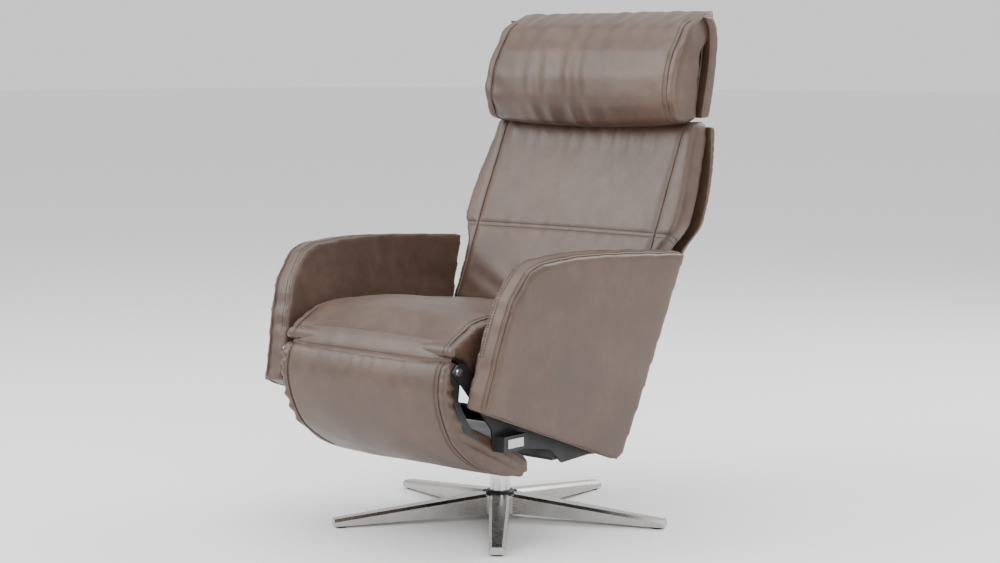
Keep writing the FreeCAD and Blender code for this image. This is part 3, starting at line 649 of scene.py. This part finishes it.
class RECLINER_OT_leg_rest(bpy.types.Operator):
    """Curved leg rest with welted side seams and gathered side gussets"""
    bl_idname = "recliner.leg_rest"
    bl_label = "Leg rest"

    def execute(self, context):
        low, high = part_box("leg_rest_pad")
        half = high.x
        pad = skin("leg_rest_leather", ["leg_rest_pad"], 7, grow=3.5 * MM)

        def fill(at, out):
            side = ramp_between(np.abs(at[:, 0]), half - 0.02, half - 0.004)
            gather = ripple(at, (0, 0.5, 1), 0.021, 11) * side * 2.6 * MM
            face = (1 - np.clip(np.abs(at[:, 0]) / half, 0, 1) ** 3) * np.clip(-out[:, 1] - out[:, 2] * 0.6, 0, 1)
            drag = ripple(at, (0.25, 0.4, 1), 0.07, 12) * face * bell(at[:, 2], low.z + 0.03, 0.07) * 1.6 * MM
            top = ripple(at, (1, 0, 0.2), 0.05, 13) * bell(at[:, 2], high.z - 0.02, 0.035) * 1.2 * MM
            return face * 4 * MM + gather + drag + top + clouds(at, 0.14, 14) * 0.8 * MM

        push(pad, fill)
        seams = [section(pad, (s * (half - 0.019), 0, 0), (1, 0, 0),
                         lambda x, y, z: y < high.y - 0.008 and not self.inside(y, z, low, high))
                 for s in (-1, 1)]
        groove(pad, seams, 3.0 * MM, 6 * MM)
        dress(pad, hide_finish(), "leg_rest", ["leg_rest_pad"])
        piping("leg_rest_piping", pad, seams, hide_finish(), "leg_rest")
        rows = [section(pad, (s * (half - 0.027), 0, 0), (1, 0, 0),
                        lambda x, y, z: y < high.y - 0.008 and not self.inside(y, z, low, high))
                for s in (-1, 1)]
        stitches("leg_rest_stitches", pad, rows, "leg_rest")
        return {"FINISHED"}

    @staticmethod
    def inside(y, z, low, high):
        """True on the apron's hollow side."""
        chord = (y - low.y) / (high.y - low.y) + (z - low.z) / (high.z - low.z)
        return chord > 0.62 and y > low.y + 0.018


class RECLINER_OT_arms(bpy.types.Operator):
    """Leaning arms: one skin over pad, board and panel, with piped panel seams and a gathered roll"""
    bl_idname = "recliner.arms"
    bl_label = "Arms"

    def execute(self, context):
        for side, sign in (("left", 1), ("right", -1)):
            self.arm(side, sign)
        return {"FINISHED"}

    def arm(self, side, sign):
        nodes = [f"arm_inner_pad_{side}", f"arm_board_{side}", f"arm_outer_panel_{side}"]
        inner_low, inner_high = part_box(nodes[0])
        outer_low, outer_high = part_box(nodes[2])
        lean = math.radians(6.277)
        outward = np.array((sign * math.cos(lean), 0, -math.sin(lean)))
        top_x = outer_high.x if sign > 0 else -outer_low.x
        outer_at = top_x * math.cos(lean) - outer_high.z * math.sin(lean)
        inner_at = (inner_high.x if sign > 0 else -inner_low.x) * math.cos(lean) - inner_high.z * math.sin(lean)
        inner_at -= 16 * MM
        front, top, rear = inner_low.y, inner_high.z, inner_high.y
        width = 56.6 * MM

        def thicken(at, out):
            depth = at @ outward
            return np.outer(np.where(depth > inner_at + 8 * MM, width - 16 * MM, 0), outward)

        arm = skin(f"arm_leather_{side}", nodes[:1], 7, before=thicken)

        def fill(at, out):
            depth = at @ outward
            facing = out @ outward
            inside = ramp_between(-facing, 0.3, 0.9)
            rim = np.clip(1 - np.abs(facing), 0, 1) ** 1.5
            plump = (bell(at[:, 1], -0.12, 0.22) * bell(at[:, 2], 0.43, 0.16)) * 9 * MM * inside
            roll = rim * bell(at[:, 2], top, 0.10) * ramp_between(-at[:, 1], -rear + 0.05, -front) * 3 * MM
            nose = bell(at[:, 1], front + 0.03, 0.07) * rim * ripple(at, (0, 0.8, -1), 0.028, 21) * 1.5 * MM
            ease = ripple(at, (0, 1, 0.15), 0.06, 22 + sign) * rim * bell(at[:, 2], top, 0.03) * 1.2 * MM
            pull = ripple(at, (0, 0.4, 1), 0.09, 24) * inside * bell(at[:, 1], rear - 0.1, 0.1) * 1.5 * MM
            flat = clouds(at, 0.2, 25 + sign) * 0.7 * MM * np.abs(facing)
            return plump + roll + nose + ease + pull + flat + 0 * depth

        push(arm, fill)
        welt = section(arm, outward * (outer_at - 9 * MM), outward)
        inner_seam = section(arm, outward * (inner_at + 10 * MM), outward,
                             lambda x, y, z: z > 0.42)
        groove(arm, [welt, inner_seam], 2.4 * MM, 5.5 * MM)
        dress(arm, hide_finish(), "chassis", nodes)
        piping(f"arm_piping_{side}", arm, [welt], hide_finish(), "chassis")
        rows = [section(arm, outward * (inner_at + d * MM), outward, lambda x, y, z: z > 0.42) for d in (6, 14)]
        rows.append(section(arm, outward * (outer_at - 17 * MM), outward))
        stitches(f"arm_stitches_{side}", arm, rows, "chassis")


class RECLINER_OT_backrest(bpy.types.Operator):
    """Back cushion with its double-stitched cross seam, and the curled rear shell"""
    bl_idname = "recliner.backrest"
    bl_label = "Backrest"

    def execute(self, context):
        low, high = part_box("back_cushion")
        half = high.x
        seam_z = low.z + 0.455 * (high.z - low.z)
        cushion = skin("back_leather", ["back_cushion"], 9, grow=3.5 * MM)

        def fill(at, out):
            face = np.clip(-out[:, 1], 0, 1)
            across = 1 - np.clip(np.abs(at[:, 0]) / half, 0, 1) ** 2.4
            lumbar = bell(at[:, 2], seam_z - 0.085, 0.075) * 13 * MM
            upper = bell(at[:, 2], seam_z + 0.11, 0.10) * 8 * MM
            gather = ripple(at, (1, 0, 0.12), 0.035, 31) * bell(at[:, 2], high.z, 0.045) * 2.2 * MM
            near_seam = ripple(at, (1, 0, 0), 0.04, 32) * bell(at[:, 2], seam_z, 0.022) * 0.9 * MM
            sides = ripple(at, (0, 0.3, 1), 0.05, 33) * ramp_between(np.abs(at[:, 0]), half - 0.06, half) * 0.7 * MM
            low_pull = ripple(at, (0.8, 0, 1), 0.07, 34) * bell(at[:, 2], low.z + 0.05, 0.05) * 2.2 * MM
            return face * (across * (lumbar + upper) + gather + near_seam + low_pull) + sides \
                + clouds(at, 0.15, 35) * 0.9 * MM

        push(cushion, fill)
        shift(cushion, self.widen)
        shift(cushion, lambda at, out: np.outer(ramp_between(at[:, 2], high.z - 0.05, high.z) * 13 * MM, (0, 0.3, 1)))
        front = lambda x, y, z: y < 0.45 * z - 0.02
        lean = Vector((0, 0.41, 0.91))
        at_seam = Vector((0, low.y + 0.075, seam_z))
        seam = section(cushion, at_seam, lean, front)
        sides = [section(cushion, (s * (half - 0.016), 0, 0), (1, 0, 0), lambda x, y, z: y < 0.45 * z - 0.03)
                 for s in (-1, 1)]
        groove(cushion, [seam] + sides, 3.2 * MM, 6.5 * MM)
        dress(cushion, hide_finish(), "back", ["back_cushion"])
        piping("back_piping", cushion, sides, hide_finish(), "back")
        rows = [section(cushion, at_seam + lean * d, lean, front) for d in (-0.005, 0.005)]
        stitches("back_stitches", cushion, rows, "back")
        self.shell()
        return {"FINISHED"}

    @staticmethod
    def widen(at, out):
        """The back spreads above the arms and narrows again towards the headrest."""
        move = np.zeros_like(at)
        spread = ramp_between(at[:, 2], 0.57, 0.645) * 0.115 - ramp_between(at[:, 2], 0.67, 0.85) * 0.065
        move[:, 0] = at[:, 0] * (spread - 0.02 * (1 - ramp_between(at[:, 2], 0.5, 0.6)))
        return move

    def shell(self):
        low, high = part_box("back_shell")
        shell = skin("back_shell_leather", ["back_shell"], 3, 4.0 * MM, 1.0 * MM)
        push(shell, lambda at, out: clouds(at, 0.2, 41) * 1.0 * MM
             + ripple(at, (1, 0, 0.1), 0.09, 42) * bell(at[:, 2], high.z, 0.05) * 0.8 * MM)
        shift(shell, self.widen)
        seams = [section(shell, (s * (high.x - 0.05), 0, 0), (1, 0, 0), lambda x, y, z: y > 0.4 * z + 0.03)
                 for s in (-1, 1)]
        groove(shell, seams, 1.6 * MM, 5 * MM)
        dress(shell, hide_finish(), "back", ["back_shell"])
        stitches("back_shell_stitches", shell, seams, "back")


class RECLINER_OT_headrest(bpy.types.Operator):
    """Head pillow with gathers, welted ends and the rear cover"""
    bl_idname = "recliner.headrest"
    bl_label = "Headrest"

    def execute(self, context):
        low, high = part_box("head_pillow")
        half = high.x
        pillow = skin("head_leather", ["head_pillow"], 10, grow=3.5 * MM)

        def fill(at, out):
            face = np.clip(-out[:, 1] * 1.2, 0, 1)
            across = 1 - np.clip(np.abs(at[:, 0]) / half, 0, 1) ** 2.5
            belly = across * bell(at[:, 2], low.z + 0.09, 0.09) * 7 * MM
            gather = ripple(at, (1, 0, 0.18), 0.042, 51) * bell(at[:, 0], -0.05, 0.13)
            gather *= (0.35 + bell(at[:, 2], low.z + 0.02, 0.09)) * 3.2 * MM
            hang = ripple(at, (0.5, 0, 1), 0.05, 52) * ramp_between(np.abs(at[:, 0]), half - 0.10, half) * 2.2 * MM
            crest = ripple(at, (1, 0, 0), 0.06, 53) * bell(at[:, 2], high.z, 0.05) * 1.5 * MM
            return face * (belly + gather) + hang + crest + clouds(at, 0.13, 54) * 1.1 * MM

        push(pillow, fill)

        def sag(at, out):
            move = np.zeros_like(at)
            across = 1 - np.clip(np.abs(at[:, 0]) / half, 0, 1) ** 2
            lower = bell(at[:, 2], low.z, 0.05) * ramp_between(-at[:, 1], -0.345, -0.30)
            move[:, 2] = -(9 + 13 * across) * MM * lower
            upper = ramp_between(at[:, 2], 1.0, 1.075) * ramp_between(at[:, 1], 0.31, 0.352)
            move[:, 1] += 46 * MM * upper
            move[:, 2] += 15 * MM * ramp_between(at[:, 2], 1.03, 1.08)
            return move

        shift(pillow, sag)
        seams = [section(pillow, (s * (half - 0.02), 0, 0), (1, 0, 0), lambda x, y, z: y < high.y - 0.008)
                 for s in (-1, 1)]
        groove(pillow, seams, 2.8 * MM, 6 * MM)
        dress(pillow, hide_finish(), "headrest", ["head_pillow"])
        piping("head_piping", pillow, seams, hide_finish(), "headrest")
        rows = [section(pillow, (s * (half - 0.028), 0, 0), (1, 0, 0), lambda x, y, z: y < high.y - 0.008)
                for s in (-1, 1)]
        stitches("head_stitches", pillow, rows, "headrest")
        self.cover()
        return {"FINISHED"}

    def cover(self):
        low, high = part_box("head_cover")
        cover = skin("head_cover_leather", ["head_cover"], 6, 4.5 * MM)
        push(cover, lambda at, out: clouds(at, 0.15, 61) * 1.2 * MM
             + ripple(at, (1, 0, 0.1), 0.08, 62) * bell(at[:, 2], low.z, 0.04) * 0.9 * MM)
        shift(cover, lambda at, out: np.outer(-ramp_between(at[:, 2], 1.05, high.z) * 12 * MM, (0, 0, 1)))
        seams = [section(cover, (s * (high.x - 0.03), 0, 0), (1, 0, 0)) for s in (-1, 1)]
        groove(cover, seams, 2.0 * MM, 5 * MM)
        dress(cover, hide_finish(), "headrest", ["head_cover"])
        piping("head_cover_piping", cover, seams, hide_finish(), "headrest")


class RECLINER_OT_hardware(bpy.types.Operator):
    """Finishes for the base, column, mechanism and fittings"""
    bl_idname = "recliner.hardware"
    bl_label = "Hardware finishes"

    def execute(self, context):
        for row in frame["record"]["subparts"]:
            node = frame["nodes"][row["node"]]
            maker = SLOT_FINISHES[row["material_slot"]]
            made = finish(row["material_slot"].replace("_", " ").capitalize(), maker)
            for place in node.material_slots:
                place.material = made
        return {"FINISHED"}


class RECLINER_OT_studio(bpy.types.Operator):
    """Pale floor, soft lights and the camera"""
    bl_idname = "recliner.studio"
    bl_label = "Studio"

    def execute(self, context):
        self.floor()
        self.lamp("Key", (-2.6, -3.4, 3.4), 3.2, 190)
        self.lamp("Fill", (3.8, -2.2, 2.2), 2.6, 85)
        self.lamp("Rim", (1.0, 3.2, 3.0), 2.4, 110)
        self.lamp("Top", (0, -0.2, 3.9), 3.0, 85)
        world = bpy.data.worlds.new("Studio")
        world.use_nodes = True
        world.node_tree.nodes["Background"].inputs["Color"].default_value = (1, 1, 1, 1)
        world.node_tree.nodes["Background"].inputs["Strength"].default_value = 1.0
        context.scene.world = world
        self.camera(context)
        return {"FINISHED"}

    def floor(self):
        half = 60
        mesh = bpy.data.meshes.new("floor")
        mesh.from_pydata([(-half, -half, 0), (half, -half, 0), (half, half, 0), (-half, half, 0)], [], [(0, 1, 2, 3)])
        floor = bpy.data.objects.new("floor", mesh)
        bpy.context.collection.objects.link(floor)
        made = Finish("Floor", (0.9, 0.9, 0.9), 0.7)
        mesh.materials.append(made.material)

    def lamp(self, name, place, wide, power):
        light = bpy.data.lights.new(name, "AREA")
        light.energy = power
        light.size = wide
        lamp = bpy.data.objects.new(name, light)
        lamp.location = place
        lamp.rotation_euler = (Vector((0, 0, 0.55)) - Vector(place)).to_track_quat("-Z", "Y").to_euler()
        bpy.context.collection.objects.link(lamp)

    def camera(self, context):
        kit = context.scene.recliner_studio
        data = bpy.data.cameras.new("Camera")
        data.lens = kit.lens
        data.sensor_width = 36
        camera = bpy.data.objects.new("Camera", data)
        camera.location = (kit.away * math.sin(kit.heading), -kit.away * math.cos(kit.heading), kit.height)
        camera.rotation_euler = (math.pi / 2 - kit.pitch, 0, kit.heading)
        bpy.context.collection.objects.link(camera)
        context.scene.camera = camera


class RECLINER_PT_panel(bpy.types.Panel):
    """Settings and steps"""
    bl_idname = "RECLINER_PT_panel"
    bl_label = "Recliner"
    bl_space_type = "VIEW_3D"
    bl_region_type = "UI"
    bl_category = "Recliner"

    def draw(self, context):
        for group in ("recliner_leather", "recliner_metal", "recliner_studio"):
            settings = getattr(context.scene, group)
            for name in settings.__annotations__:
                self.layout.prop(settings, name)
        for step in STEPS:
            self.layout.operator(step.bl_idname)


STEPS = (RECLINER_OT_studio, RECLINER_OT_hardware, RECLINER_OT_seat, RECLINER_OT_leg_rest, RECLINER_OT_arms,
         RECLINER_OT_backrest, RECLINER_OT_headrest)
GROUPS = {"recliner_leather": LeatherSettings, "recliner_metal": MetalSettings, "recliner_studio": StudioSettings}


def register():
    for name, group in GROUPS.items():
        bpy.utils.register_class(group)
        setattr(bpy.types.Scene, name, bpy.props.PointerProperty(type=group))
    for step in STEPS:
        bpy.utils.register_class(step)
    bpy.utils.register_class(RECLINER_PT_panel)


def unregister():
    bpy.utils.unregister_class(RECLINER_PT_panel)
    for step in reversed(STEPS):
        bpy.utils.unregister_class(step)
    for name, group in GROUPS.items():
        delattr(bpy.types.Scene, name)
        bpy.utils.unregister_class(group)


def main():
    register()
    for step in STEPS:
        family, name = step.bl_idname.split(".")
        getattr(getattr(bpy.ops, family), name)()


if __name__ == "__main__":
    main()
